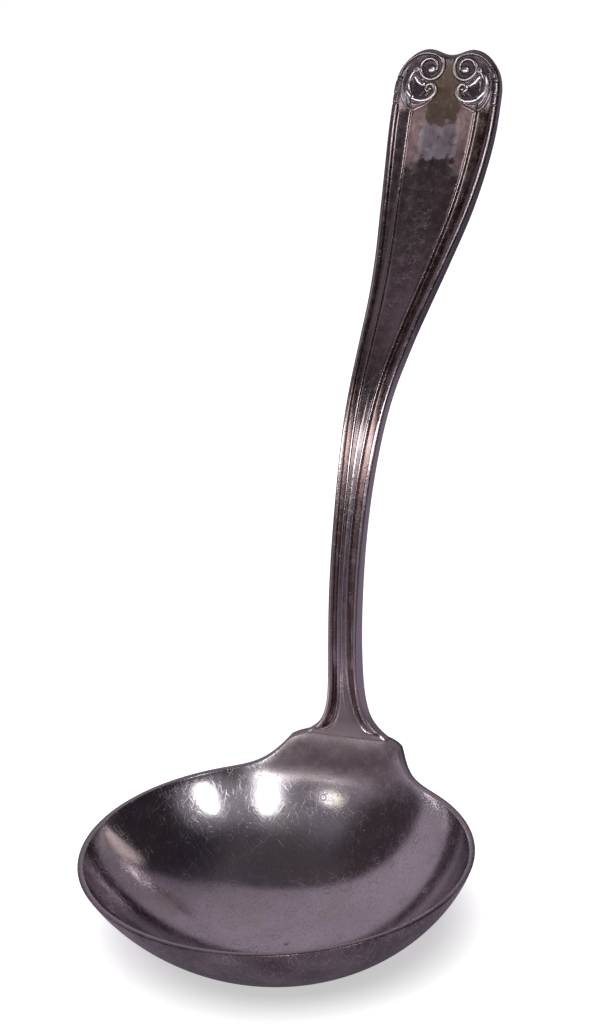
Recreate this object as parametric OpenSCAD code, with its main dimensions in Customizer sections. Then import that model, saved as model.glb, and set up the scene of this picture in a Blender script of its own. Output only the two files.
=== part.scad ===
// Serving ladle: an oval struck bowl with two shoulders at its back, hard-soldered to a long
// threaded handle that ends in a pair of applied scrolls.
// Frame: +Z up, +Y from the lip towards the handle, X mirror-symmetric.
// The origin is the middle of the small flat under the bowl, with the rim level.

/* [Bowl] */
// Width of the bowl across its rim, side to side
bowl_w = 100.6; // [90:1:110]
// Length of the bowl across its rim, lip to back
bowl_len = 80.6; // [72:1:88]
// Height of the rim above the foot flat
bowl_depth = 26.6; // [24:0.2:30]
// Wall thickness of the bowl
wall = 1.4; // [1:0.1:1.8]
// How far the lowest point lies nearer the lip than the rim's centre
belly_shift = 2; // [0:0.5:4]
// Sag of the round belly that the foot flat takes off
foot_cut = 0.25; // [0.15:0.05:0.4]

/* [Shoulders] */
// Half-width of the two shoulder corners
corner_x = 15.3; // [13:0.1:18]
// Height of the shoulder corners above the rim
corner_h = 3.8; // [3:0.1:4.5]
// Half-width at which the coves run out into the rim
cove_x = 27; // [23:0.5:30]
// Thickness of the shoulder plate at its top edge
plate_t = 2.4; // [1.8:0.1:3]

/* [Handle] */
// Half-width of the handle root where it is soldered on
root_x = 11; // [10:0.1:12]
// Height of the solder seam above the rim
seam_h = 4.9; // [4.6:0.1:6]
// Front face of the root, measured back from the origin
root_y = 47.4; // [46.5:0.1:48]
// Thickness of the solder layer
seam_t = 0.15; // [0.1:0.05:0.3]
// Half-width of the handle's neck, at its narrowest
neck_w = 4.05; // [3.6:0.05:4.6]
// Half-width of the handle's broad end
end_w = 14.9; // [13:0.1:16]
// Half-width of the middle of each lobe at the tip
lobe_x = 6; // [5:0.1:7]
// Depth of the notch between the two lobes
notch = 1.4; // [0.5:0.1:2]

/* [Scrolls] */
// Radius of the rolled threads of the scrolls
thread_r = 0.55; // [0.4:0.05:0.7]
// Radius of the bead in the eye of each volute
eye_r = 1.6; // [1.2:0.1:2]
// Facets around each thread
thread_facets = 8; // [6:2:12]

/* [Hidden] */
silver = [0.62, 0.59, 0.62];
dark_silver = [0.42, 0.38, 0.40];
bright_silver = [0.78, 0.76, 0.78];

// Bowl grid: rows from the pole to the edge, and steps of plan angle in each stretch of half a turn
bowl_rows = 20;
seam_steps = 4;
shoulder_steps = 3;
cove_steps = 8;
rim_steps = 22;
// The belly is a superellipse, cut a little below its equator so that the rim still flares
belly_n = 2.4;
belly_m = 1.3;
belly_cut = 0.985;
cove_power = 3.1;
plate_rows = 38;
rim_flare = 0.36;
// Where the wall starts to be drawn back into the shoulder plate: below the rim, and sideways
draw_start = 2.5;
draw_full_x = corner_x - 2.2;
draw_end_x = cove_x + 2;
foot_cutter = 40;
// How the inner surface follows the outer one
skin_in_plan = 1.06;
skin_lag = 0.7;

// The handle's side view: start angle above level, then tangent arcs as [length, angle at the arc's end]
root_angle = 81;
handle_arcs = [[76, 48.7], [20.4, 31.9], [17, 29], [28, 36.4], [46.5, 58]];
handle_len = 188.3;
// Half-widths along the handle as [distance from the seam, half-width]
width_stations = [
    [0, neck_w], [33, neck_w], [61, neck_w + 0.3], [86, neck_w + 1.4], [101, neck_w + 2.55],
    [116, neck_w + 4.1], [131, end_w - 4.6], [144, end_w - 2.5], [157, end_w - 0.9],
    [167, end_w - 0.1], [176.8, end_w]
];
tip_start = 176.8;
tip_len = handle_len - tip_start;
flare = 4.3;
// Thickness along the handle as [distance from the seam, thickness]
thickness_stations = [[0, 2.5], [10, 3.9], [31, 3.8], [91, 3.4], [188, 3.2]];
root_stations = [0, 1, 2, 3.2, 4.6];
shank_rings = 46;
tip_rings = 12;
// Relief of the front face: a middle panel between two raised threads, a channel each side, and a border bead
channel_h = -0.6;
border_in = 0.65;
tip_round = 0.8;
relief_end = 169.4;
// Solder stands a little proud of both faces
seam_bead = 0.2;

// ---- small helpers ----
function clamp01(x) = max(0, min(1, x));
function smooth(x) = let(c = clamp01(x)) c * c * (3 - 2 * c);
function mix(a, b, f) = a + (b - a) * f;
function unit(v) = v / norm(v);
function slope_at(tab, i) =
    let(lo = max(0, i - 1), hi = min(len(tab) - 1, i + 1))
    (tab[hi][1] - tab[lo][1]) / (tab[hi][0] - tab[lo][0]);
// A smooth curve through a table of [position, value] pairs
function ease(x, tab, i = 0) =
    x >= tab[len(tab) - 1][0] ? tab[len(tab) - 1][1] :
    x > tab[i + 1][0] ? ease(x, tab, i + 1) :
    let(
        gap = tab[i + 1][0] - tab[i][0],
        f = (x - tab[i][0]) / gap,
        bend_a = slope_at(tab, i) * gap,
        bend_b = slope_at(tab, i + 1) * gap
    )
    mix(tab[i][1], tab[i + 1][1], f * f * (3 - 2 * f))
        + f * (1 - f) * ((1 - f) * bend_a - f * bend_b);

// ---- bowl ----
function raw_belly(r) = 1 - pow(1 - pow(belly_cut * r, belly_n), 1 / belly_m);
function belly_rise(r) = raw_belly(r) / raw_belly(1);
// Height of the bowl's edge above the rim plane, x from the middle of the back
function edge_h(x) =
    x >= cove_x ? 0 :
    x >= corner_x ? corner_h * pow((cove_x - x) / (cove_x - corner_x), cove_power) :
    mix(seam_h, corner_h, clamp01((x - root_x) / (corner_x - root_x)));
// How strongly the bowl's wall is drawn back into the shoulder plate, x from the middle of the back
function draw_back(x) = 1 - smooth((x - draw_full_x) / (draw_end_x - draw_full_x));
// The wall's own flare above the rim, dying out at the seam
function wall_flare(h) = h > 0 ? rim_flare * h * pow(max(0, 1 - h / seam_h), 2) : 0;
function edge_h_at(turn) = cos(turn) > 0 ? edge_h(bowl_w / 2 * abs(sin(turn))) : 0;
// A surface of the bowl, skin inside the outer one: turn is the plan angle from the back;
// w is 0 at the pole, 1 at the rim, and then runs up the shoulder plate
function shell_pt(turn, w, skin) =
    let(
        r = w < 1 ? w * (1.25 - 0.25 * w * w) : 1,
        up = edge_h_at(turn),
        h = w < 1 ? (bowl_depth + foot_cut - skin) * (belly_rise(r) - 1) : min(up, (w - 1) * plate_rows),
        x = abs(sin(turn)) * bowl_w / 2,
        half_l = bowl_len / 2 - skin_in_plan * skin,
        start = draw_start - skin_lag * skin,
        drawn = smooth((h + start) / (seam_h + start)) * (cos(turn) > 0 ? draw_back(x) : 0),
        root = root_y + plate_t * (1 - skin / wall),
        rim = belly_shift + half_l * max(cos(turn), cos(turn_at(root_x)))
    )
    [
        (bowl_w / 2 - skin_in_plan * skin) * sin(turn) * r,
        belly_shift * r * r + half_l * r * cos(turn) + wall_flare(h) * cos(turn) + (root - rim) * drawn,
        bowl_depth + h
    ];
// The same surface with v running 0 at the pole to 1 at the bowl's own edge
function outer_pt(turn, v) = shell_pt(turn, v * (1 + edge_h_at(turn) / plate_rows), 0);
function inner_pt(turn, v) = shell_pt(turn, v * (1 + edge_h_at(turn) / plate_rows), wall);
function turn_at(x) = asin(2 * x / bowl_w);
half_turns = concat(
    [for (i = [0 : seam_steps - 1]) turn_at(root_x) * i / seam_steps],
    [for (i = [0 : shoulder_steps - 1]) mix(turn_at(root_x), turn_at(corner_x), i / shoulder_steps)],
    [for (i = [0 : cove_steps - 1]) mix(turn_at(corner_x), turn_at(cove_x), i / cove_steps)],
    [for (i = [0 : rim_steps - 1]) mix(turn_at(cove_x), 180, i / rim_steps)]
);
half_count = len(half_turns);
turns = concat(half_turns, [180], [for (i = [half_count - 1 : -1 : 1]) -half_turns[i]]);
// Rows crowd together towards the edge, where the shape changes fastest
function row_v(row) = 1 - pow(1 - row / bowl_rows, 1.5);
// The edge is rounded, but stays square where the handle is soldered on
function edge_pt(turn) =
    let(
        mid = (outer_pt(turn, 1) + inner_pt(turn, 1)) / 2,
        open = abs(turn) <= turn_at(root_x) + 0.01 ? 0 : 1
    )
    mid + [0, 0, 0.2 * wall * open];

// A closed solid from rings of equal length, with a point at each end
function ring_faces(rings, count) = concat(
    [for (j = [0 : count - 1]) [0, 1 + (j + 1) % count, 1 + j]],
    [for (i = [0 : rings - 2], j = [0 : count - 1], half = [0, 1])
        let(
            a = 1 + i * count + j,
            b = 1 + i * count + (j + 1) % count
        )
        // the diagonals mirror from one half of the ring to the other
        j < count / 2 ?
            (half == 0 ? [a, b, b + count] : [a, b + count, a + count]) :
            (half == 0 ? [a, b, a + count] : [b, b + count, a + count])],
    [for (j = [0 : count - 1])
        let(last = 1 + (rings - 1) * count)
        [last + j, last + (j + 1) % count, 1 + rings * count]]
);
module ring_solid(start, rings, end) {
    count = len(rings[0]);
    polyhedron(
        points = concat([start], [for (ring = rings) each ring], [end]),
        faces = ring_faces(len(rings), count),
        convexity = 6
    );
}

module bowl() {
    outer = [for (row = [1 : bowl_rows]) [for (turn = turns) outer_pt(turn, row_v(row))]];
    inner = [for (row = [bowl_rows : -1 : 1]) [for (turn = turns) inner_pt(turn, row_v(row))]];
    color(silver)
    difference() {
        ring_solid(
            [0, 0, -foot_cut],
            concat(outer, [[for (turn = turns) edge_pt(turn)]], inner),
            [0, 0, wall - foot_cut]
        );
        translate([-foot_cutter / 2, -foot_cutter / 2, -foot_cutter]) cube(foot_cutter);
    }
}

// ---- handle ----
// Angle of the handle above level, s from the seam
function handle_angle(s, i = 0, from = root_angle) =
    i == len(handle_arcs) - 1 || s <= handle_arcs[i][0] ?
        mix(from, handle_arcs[i][1], s / handle_arcs[i][0]) :
        handle_angle(s - handle_arcs[i][0], i + 1, handle_arcs[i][1]);
// [y, z] step along one arc of the given length
function arc_step(from, to, length) =
    let(bend = (to - from) * PI / 180)
    length * [sin(to) - sin(from), cos(from) - cos(to)] / bend;
function handle_run(s, i = 0, from = root_angle) =
    let(arc = handle_arcs[i])
    i == len(handle_arcs) - 1 || s <= arc[0] ?
        (s <= 0 ? [0, 0] : arc_step(from, mix(from, arc[1], s / arc[0]), s)) :
        arc_step(from, arc[1], arc[0]) + handle_run(s - arc[0], i + 1, arc[1]);
// The root's end face is level; the sections then turn square to the handle
function section_angle(s) = mix(90, handle_angle(s), smooth(s / 6));
// A point on the handle: t across, s along, h proud of the front face
function on_handle(t, s, h) =
    let(run = handle_run(s), a = section_angle(s))
    [t, root_y + run[0] - h * sin(a), bowl_depth + seam_h + run[1] + h * cos(a)];
function tip_fall(s) = sqrt(max(0, 1 - pow((s - tip_start) / tip_len, 2)));
function half_width(s) =
    s < tip_start ? ease(s, width_stations) + (root_x - neck_w) * exp(-s / flare) :
    mix(lobe_x, end_w, tip_fall(s));
function ridge_x(s) =
    half_width(s) * mix(0.27, 0.62, smooth((s - 41) / 115)) + 2.6 * exp(-s / flare);
// Height of the middle panel, proud of the border low on the shank and sunk below it near the tip
function panel_h(s) = mix(0.25, -0.35, smooth((s - 61) / 50));
// Rounding of the tip's end
function edge_drop(s) =
    let(f = clamp01(s - handle_len + 1))
    tip_round * (1 - sqrt(1 - f * f));
// One section as [t, h] points, from the middle of the front, round one side, to the middle of the back
function half_section(s) =
    let(
        w = half_width(s),
        r = min(ridge_x(s), w - 1.9),
        border = smooth(s / 3),
        relief = border * (1 - smooth((s - relief_end) / 6)),
        p = panel_h(s) * border,
        low = edge_drop(s),
        t = ease(s, thickness_stations)
    )
    [
        [0, p - low],
        [r - 0.5, p - 0.15 * relief - low],
        [r, p + 0.2 * relief - low],
        [r + 0.35, p - 0.2 * relief - low],
        [(r + w - 0.8) / 2, mix(p, channel_h, relief) * border - low],
        [w - border_in - 0.5, -0.3 * border - low],
        [w - border_in, -low],
        [w - 0.15, -0.3 - low],
        [w, -t / 2],
        [w - 0.2, -t + 0.5 + low],
        [w - 0.9, -t + low],
        [w * 0.5, -t - 0.25 * border + low],
        [0, -t - 0.35 * border + low]
    ];
function section(s) =
    let(half = half_section(s))
    concat([for (p = half) [-p[0], p[1]]], [for (i = [len(half) - 2 : -1 : 1]) half[i]]);
// The notch between the lobes draws the sections back in the middle
function notch_at(t, s) =
    abs(t) >= lobe_x ? 0 : notch * pow(cos(90 * t / lobe_x), 2) * pow(clamp01((s - relief_end) / 19), 3);
function handle_ring(s) = [for (p = section(s)) on_handle(p[0], s - notch_at(p[0], s), p[1])];
handle_stations = concat(
    root_stations,
    [for (i = [1 : shank_rings]) mix(root_stations[len(root_stations) - 1], tip_start, i / shank_rings)],
    [for (i = [1 : tip_rings]) tip_start + tip_len * sin(90 * i / tip_rings)]
);
module handle_solid() {
    ring_solid(
        on_handle(0, 0, -1.2),
        [for (s = handle_stations) handle_ring(s)],
        on_handle(0, handle_len - notch, -1.6)
    );
}
module handle() {
    color(dark_silver)
    translate([0, 0, seam_t])
    handle_solid();
}

// ---- solder seam ----
module solder_seam() {
    side = plate_t / 2 + seam_bead;
    color(bright_silver)
    translate([0, root_y + plate_t / 2, bowl_depth + seam_h])
    linear_extrude(seam_t) {
        square([2 * (root_x - 1), 2 * side], center = true);
        for (x = [-root_x + 1, root_x - 1]) translate([x, 0]) circle(side, $fn = 24);
    }
}

// ---- scrolls: laid out on the front face as [t, s], right-hand side ----
volute = [4.9, 183.4];
volute_turns = [-30, 20, 510];
curl = [5.1, 178];
curl_turns = [20, -24, -316];
leaf = [8.2, 177.6];
leaf_edge = [4.5, 5.6];
leaf_edge_turns = [10, -20, -170];
leaf_body = [3.3, 4.2];
leaf_body_turns = [-10, -24, -154];
leaf_body_r = 1.2;
teardrop = [[10.6, 183.4], [10.3, 181.7], [9.4, 180.4], [8.4, 179.9]];
thread_h = 0.1;
// Low domed pads that join the threads to the handle, as [centre, radius]
pads = [[volute, 4.2], [curl, 2.2], [[8.6, 180], 3.4]];
pad_rise = 0.5;
pad_h = -0.35;
function polar(c, r, a) = c + r * [cos(a), sin(a)];
// Radius of each scroll against its turning angle: a slow spiral that swings out into the long tail
function volute_r(a) = 4.1 - 2.4 * (a - 90) / 450 + 4.4 * pow(max(0, 90 - a) / 124, 1.6);
function curl_r(a) =
    1.2 + 0.9 * (a + 110) / 223 * (a < -110 ? 0.4 : 0.2) + 4.7 * pow(max(0, a + 110) / 133, 1.9);
function turning(turns) = [for (a = [turns[0] : turns[1] : turns[2]]) a];
function oval(c, size, turns) =
    [for (a = turning(turns)) c + [size[0] * cos(a), size[1] * sin(a)]];
// A thread through points of the layout, tapering from radius r0 to r1
module thread(path, r0, r1, h = thread_h) {
    last = len(path) - 1;
    for (i = [0 : last - 1])
        hull() for (k = [i, i + 1])
            translate(on_handle(path[k][0], path[k][1], h))
            sphere(mix(r0, r1, k / last), $fn = thread_facets);
}
module pad(at, r) {
    translate(on_handle(at[0], at[1], pad_h))
    rotate([section_angle(at[1]), 0, 0])
    scale([1, 1, pad_rise / r])
    sphere(r, $fn = 20);
}
module scroll() {
    thread([for (a = turning(volute_turns)) polar(volute, volute_r(a), a)], thread_r, thread_r * 0.65);
    thread([for (a = turning(curl_turns)) polar(curl, curl_r(a), a)], thread_r, thread_r * 0.55);
    thread(oval(leaf, leaf_edge, leaf_edge_turns), thread_r * 0.7, thread_r * 0.7, -thread_h);
    thread(oval(leaf, leaf_body, leaf_body_turns), leaf_body_r, leaf_body_r, 0.3 - leaf_body_r);
    thread(teardrop, thread_r * 0.65, thread_r * 2.1);
    translate(on_handle(volute[0], volute[1], thread_h)) sphere(eye_r, $fn = 16);
    for (p = pads) pad(p[0], p[1]);
}
module seated_scroll() {
    translate([0, 0, seam_t])
    difference() {
        scroll();
        handle_solid();
    }
}
module scroll_right() {
    color(bright_silver) seated_scroll();
}
module scroll_left() {
    color(bright_silver) mirror([1, 0, 0]) seated_scroll();
}

bowl();
handle();
solder_seam();
scroll_left();
scroll_right();
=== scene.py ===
import math
import bpy
import numpy as np
from mathutils import Matrix, Vector


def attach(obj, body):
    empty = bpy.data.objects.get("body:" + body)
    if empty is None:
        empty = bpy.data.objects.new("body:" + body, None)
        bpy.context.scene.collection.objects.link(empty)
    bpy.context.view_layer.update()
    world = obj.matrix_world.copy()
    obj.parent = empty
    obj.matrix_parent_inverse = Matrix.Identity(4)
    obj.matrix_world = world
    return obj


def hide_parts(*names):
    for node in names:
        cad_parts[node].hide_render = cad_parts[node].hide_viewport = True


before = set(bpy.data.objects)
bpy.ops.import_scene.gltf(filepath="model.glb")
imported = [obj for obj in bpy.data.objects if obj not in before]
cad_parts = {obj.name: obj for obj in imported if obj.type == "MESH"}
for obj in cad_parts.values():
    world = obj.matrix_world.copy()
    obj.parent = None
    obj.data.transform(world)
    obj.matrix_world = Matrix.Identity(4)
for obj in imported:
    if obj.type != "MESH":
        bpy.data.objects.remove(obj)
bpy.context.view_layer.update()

MM = 0.001

# ---- sizes of the part, in millimetres, as in its source; x is measured from the middle plane ----
# the bowl: its width, length, depth and wall, how far its rim lies behind its foot, and the foot's flat
BOWL_W, BOWL_LEN, BOWL_DEPTH, WALL = 100.6, 80.6, 26.6, 1.4
BELLY_SHIFT, FOOT_CUT = 2.0, 0.25
# the shoulders: their corner, the end of the cove beside it, and the plate's thickness
CORNER_X, CORNER_H, COVE_X, PLATE_T = 15.3, 3.8, 27.0, 2.4
# the joint with the handle: half its width, its height over the rim, the solder, and its place
ROOT_X, SEAM_H, SEAM_T, ROOT_Y = 11.0, 4.9, 0.15, 47.4
# the handle: half its width at the neck and at the end, the lobes' tops, and the notch between them
NECK_W, END_W, LOBE_X, NOTCH = 4.05, 14.9, 6.0, 1.4
# the belly's curve, the cove's curve, and how much w grows over the plate
BELLY_N, BELLY_M, BELLY_CUT, COVE_POWER, PLATE_ROWS = 2.4, 1.3, 0.985, 3.1, 38.0
# how the rim flares and where the plate is drawn up to the joint
RIM_FLARE, DRAW_START, DRAW_FULL_X, DRAW_END_X = 0.36, 2.5, CORNER_X - 2.2, COVE_X + 2
# in plan the inside is smaller by this much of the wall
SKIN_IN_PLAN = 1.06
# the plate's inside leans back more softly; the lip stands up between the two surfaces
SOFT_START, SOFT_POWER, SOFT_REACH, LIP_RISE = 4.2, 1.3, 0.9, 0.3
# rings of points up each surface of the bowl and over its lip
BOWL_ROWS, LIP_RINGS = 84, 9
# rolled-out coordinates: the lip lies past the rim (mm), and the outside well apart from the inside (m)
LIP_REACH, SHEET_APART = 2, 0.4
# the handle's side view: arcs of (length, angle above level at the end), from the angle at the root
ROOT_ANGLE = 81.0
HANDLE_ARCS = [(76, 48.7), (20.4, 31.9), (17, 29), (28, 36.4), (46.9, 58)]
HANDLE_LEN, TIP_START, FLARE = 188.3, 176.8, 4.3
# half its width and its thickness, at distances along it
WIDTHS = [
    (0, NECK_W), (33, NECK_W), (61, NECK_W + 0.3), (86, NECK_W + 1.4), (101, NECK_W + 2.55),
    (116, NECK_W + 4.1), (131, END_W - 4.6), (144, END_W - 2.5), (157, END_W - 0.9), (167, END_W - 0.1),
    (TIP_START, END_W)]
THICKNESSES = [(0, 2.5), (10, 3.9), (31, 3.8), (91, 3.4), (188, 3.2)]
# relief of the handle's front: the panel's level, the ridge's bend at the root, the channel, the border bead
PANEL_LEVEL = [
    (0, 0), (1, -0.48), (2, -0.8), (3, -0.98), (4.5, -1.08), (7, -1.0), (14, -0.45), (24, 0.02), (60, 0.02),
    (110, -0.3), (168, -0.3), (176, -0.42), (188, -0.42)]
RIDGE_SPREAD, RIDGE_FLARE = 3.4, 5.5
# the ridge's closed end at the root, as (across, along)
TOE = [(4.24, 2.6), (4.8, 2.0), (5.5, 1.5), (6.3, 1.2), (7.1, 1.1), (7.8, 1.3)]
CHANNEL, RELIEF_END = 0.75, 171.0
# the scrolls' inner limit, below and above, and the cuts between the beads beside them
SCROLL_INSIDE = (3.4, 1.5)
BEAD_CUTS = [(180.0, 0.7), (176.15, 0.4), (173.45, 0.4)]


# ---- small helpers ----
def clamp01(x):
    """x, held between 0 and 1."""
    return np.clip(x, 0.0, 1.0)


def smooth(x):
    """An even rise from 0 to 1, level at both ends."""
    c = clamp01(x)
    return c * c * (3 - 2 * c)


def mix(a, b, f):
    """a where f is 0 and b where f is 1."""
    return a + (b - a) * f


def steps(low, high, count):
    """count even steps from low up to high, which is left out."""
    return np.linspace(low, high, count, endpoint=False)


def ease(s, table):
    """A smooth curve through a table of (position, value) pairs."""
    s = np.asarray(s, float)
    x = np.array([p[0] for p in table], float)
    y = np.array([p[1] for p in table], float)
    n = len(x)
    lo, hi = np.maximum(np.arange(n) - 1, 0), np.minimum(np.arange(n) + 1, n - 1)
    slope = (y[hi] - y[lo]) / (x[hi] - x[lo])
    i = np.clip(np.searchsorted(x, s, side="right") - 1, 0, n - 2)
    gap = x[i + 1] - x[i]
    f = np.clip((s - x[i]) / gap, 0, 1)
    between = mix(y[i], y[i + 1], f * f * (3 - 2 * f))
    return between + f * (1 - f) * ((1 - f) * slope[i] * gap - f * slope[i + 1] * gap)


def spline(points, per_gap):
    """Catmull-Rom through points (n x k), with per_gap steps between neighbours."""
    p = np.asarray(points, float)
    q = np.concatenate([2 * p[:1] - p[1:2], p, 2 * p[-1:] - p[-2:-1]])
    t = np.arange(per_gap) / per_gap
    a, b, c, d = q[:-3, None], q[1:-2, None], q[2:-1, None], q[3:, None]
    u = t[None, :, None]
    out = 0.5 * (2 * b + (c - a) * u + (2 * a - 5 * b + 4 * c - d) * u**2 + (3 * b - a - 3 * c + d) * u**3)
    return np.concatenate([out.reshape(-1, p.shape[1]), p[-1:]])


def into_scene(name, data):
    """A new object in the scene with this mesh, light or camera."""
    obj = bpy.data.objects.new(name, data)
    bpy.context.scene.collection.objects.link(obj)
    return obj


def make_mesh(name, verts_mm, faces, material, flat=None):
    """A mesh object from vertices in millimetres and face arrays; flat marks faces left unsmoothed."""
    mesh = bpy.data.meshes.new(name)
    counts = np.concatenate([np.full(len(f), f.shape[1], np.int32) for f in faces])
    corners = np.concatenate([f.reshape(-1) for f in faces]).astype(np.int32)
    verts = (np.asarray(verts_mm, np.float64) * MM).astype(np.float32)
    mesh.vertices.add(len(verts))
    mesh.vertices.foreach_set("co", verts.reshape(-1))
    mesh.loops.add(len(corners))
    mesh.loops.foreach_set("vertex_index", corners)
    mesh.polygons.add(len(counts))
    starts = np.concatenate([[0], np.cumsum(counts)[:-1]]).astype(np.int32)
    mesh.polygons.foreach_set("loop_start", starts)
    mesh.polygons.foreach_set("use_smooth", np.ones(len(counts), bool) if flat is None else ~flat)
    mesh.update(calc_edges=True)
    mesh.materials.append(material)
    obj = into_scene(name, mesh)
    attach(obj, "root")
    return obj


def store(obj, kind, field, values):
    """Store numbers at the vertices under each name; closing vertices at the end are left at 0."""
    for name, numbers in values.items():
        attribute = obj.data.attributes.new(name, kind, "POINT")
        data = np.zeros(len(obj.data.vertices) * (3 if field == "vector" else 1), np.float32)
        data[:np.size(numbers)] = np.reshape(numbers, -1)
        attribute.data.foreach_set(field, data)


def fan(centre, ring):
    """Triangles from one centre point to a closed ring of points."""
    return np.stack([np.full(len(ring), centre), ring, np.roll(ring, -1)], -1)


def closed_tube(rings, low, high, flip=False):
    """Points, quads and triangles of rings of points, wrapped round and closed by a point at each end."""
    rows, count = rings.shape[:2]
    verts = np.concatenate([rings.reshape(-1, 3), [low], [high]])
    i = np.arange(rows - 1)[:, None] * count
    j = np.arange(count)[None, :]
    k = (j + 1) % count
    quads = np.stack([i + j, i + k, i + k + count, i + j + count], -1).reshape(-1, 4)
    first = np.arange(count)
    last = first + (rows - 1) * count
    tris = np.concatenate([fan(rows * count, first)[:, ::-1], fan(rows * count + 1, last)])
    if flip:
        quads, tris = quads[:, ::-1], tris[:, ::-1]
    return verts, quads, tris


# ---- the bowl's surfaces ----
def belly_rise(r):
    """How far up the belly has come, 0 to 1, at r of the way from its middle to the rim."""
    def raw(q):
        return 1 - (1 - (BELLY_CUT * q) ** BELLY_N) ** (1 / BELLY_M)
    return raw(r) / raw(1.0)


def edge_height(turn):
    """Height of the upper edge over the rim: level joint, shoulder, corner and cove, at the back only."""
    x = BOWL_W / 2 * np.abs(np.sin(turn))
    cove = CORNER_H * np.clip((COVE_X - x) / (COVE_X - CORNER_X), 0, None) ** COVE_POWER
    top = mix(SEAM_H, CORNER_H, clamp01((x - ROOT_X) / (CORNER_X - ROOT_X)))
    return np.where(np.cos(turn) > 0, np.where(x >= CORNER_X, cove, top), 0.0)


def plate_mask(turn):
    """1 over the middle of the plate that is drawn up at the back, 0 past the coves."""
    x = np.abs(np.sin(turn)) * BOWL_W / 2
    return np.where(np.cos(turn) > 0, 1 - smooth((x - DRAW_FULL_X) / (DRAW_END_X - DRAW_FULL_X)), 0.0)


def shell(turn, w, skin):
    """A surface of the bowl, skin inside the outer one.

    turn is the plan angle from the back, and w is 0 in the middle, 1 at the rim and more on the plate.
    """
    r = np.where(w < 1, w * (1.25 - 0.25 * w * w), 1.0)
    up = edge_height(turn)
    belly = (BOWL_DEPTH + FOOT_CUT - skin) * (belly_rise(r) - 1)
    h = np.where(w < 1, belly, np.minimum(up, (w - 1) * PLATE_ROWS))
    half = BOWL_LEN / 2 - SKIN_IN_PLAN * skin
    # the inside starts to lean back lower down and more gently than the outside
    start = mix(DRAW_START, SOFT_START, skin / WALL)
    power = mix(1.0, SOFT_POWER, skin / WALL)
    reach = mix(1.0, SOFT_REACH, skin / WALL)
    up_plate = clamp01((h + start) / (SEAM_H + start))
    drawn = smooth(up_plate ** power * reach) / smooth(reach) * plate_mask(turn)
    root = ROOT_Y + PLATE_T * (1 - skin / WALL)
    rim = BELLY_SHIFT + half * np.maximum(np.cos(turn), math.sqrt(1 - (2 * ROOT_X / BOWL_W) ** 2))
    flare = np.where(h > 0, RIM_FLARE * h * np.clip(1 - h / SEAM_H, 0, None) ** 2, 0.0)
    return np.stack([
        (BOWL_W / 2 - SKIN_IN_PLAN * skin) * np.sin(turn) * r,
        BELLY_SHIFT * r * r + half * r * np.cos(turn) + flare * np.cos(turn) + (root - rim) * drawn,
        BOWL_DEPTH + h], -1)


def from_middle(rings):
    """Distance over the surface from the first of several rings of points to each of them."""
    steps = np.linalg.norm(np.diff(rings, axis=0), axis=-1)
    return np.concatenate([np.zeros((1, rings.shape[1])), np.cumsum(steps, 0)])


def plan_angle(x):
    """The plan angle, from the back, at which the rim is x from the middle plane."""
    return math.asin(2 * x / BOWL_W)


def bowl_turns():
    """Plan angles round the bowl, closer together along the joint, the shoulders and the coves."""
    root, corner, cove = (plan_angle(x) for x in (ROOT_X, CORNER_X, COVE_X))
    half = np.concatenate([
        steps(0, root, 12), steps(root, corner, 8), steps(corner, cove, 24), steps(cove, math.pi, 100)])
    return np.concatenate([half, [math.pi], -half[:0:-1]])


def bowl_surfaces(turns):
    """Rings of points over the outer and the inner surface, from the middle up to the edge."""
    v = 1 - (1 - np.arange(1, BOWL_ROWS + 1) / BOWL_ROWS) ** 1.35
    T, V = np.meshgrid(turns, v)
    W = V * (1 + edge_height(T) / PLATE_ROWS)
    outer, inner = shell(T, W, 0.0), shell(T, W, WALL)
    outer[..., 2] = np.maximum(outer[..., 2], 0.0)
    return outer, inner


def rolled_lip(turns, a, b):
    """Rings that round the edge over from a outside to b inside; flat where the handle is soldered on."""
    root, corner = plan_angle(ROOT_X), plan_angle(CORNER_X)
    lift = np.array([0, 0, LIP_RISE]) * smooth((np.abs(turns) - root) / (corner - root) * 1.5)[:, None]
    turn = steps(0, math.pi, LIP_RINGS + 1)[1:, None, None]
    return (a + b) / 2 + (a - b) / 2 * np.cos(turn) + lift * np.sin(turn)


def rolled_out(turns, outer, inner):
    """The surface rolled out flat from its middle, in metres, so that scratches and spots lie along it."""
    below, above = from_middle(outer), from_middle(inner)[::-1]
    reach = np.concatenate([below, np.repeat(below[-1:], LIP_RINGS, 0) + LIP_REACH, above]) * MM
    aside = np.where(np.arange(len(reach)) < BOWL_ROWS, SHEET_APART, 0.0)[:, None]
    return np.stack([reach * np.sin(turns) + aside, -reach * np.cos(turns), np.zeros_like(reach)], -1)


def mark_bowl(obj, turns, rings, sheet):
    """Store at each vertex what the material needs."""
    level = rings[..., 2] - BOWL_DEPTH
    ring = np.arange(len(rings))[:, None] + 0 * level
    inside = np.where(ring >= BOWL_ROWS + LIP_RINGS // 2, 1.0, 0.0)
    climb = 0.7 * smooth((level + 5.5) / 3.5) + 0.3 * smooth((level - 1.0) / 3.0)
    plate = plate_mask(turns) * climb
    lip = np.clip(1 - np.abs(ring - (BOWL_ROWS + LIP_RINGS / 2)) / (LIP_RINGS / 2 + 0.5), 0, 1)
    store(obj, "FLOAT", "value", {"inside": inside, "plate": plate, "lip": lip})
    store(obj, "FLOAT_VECTOR", "vector", {"sheet": sheet})


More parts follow.
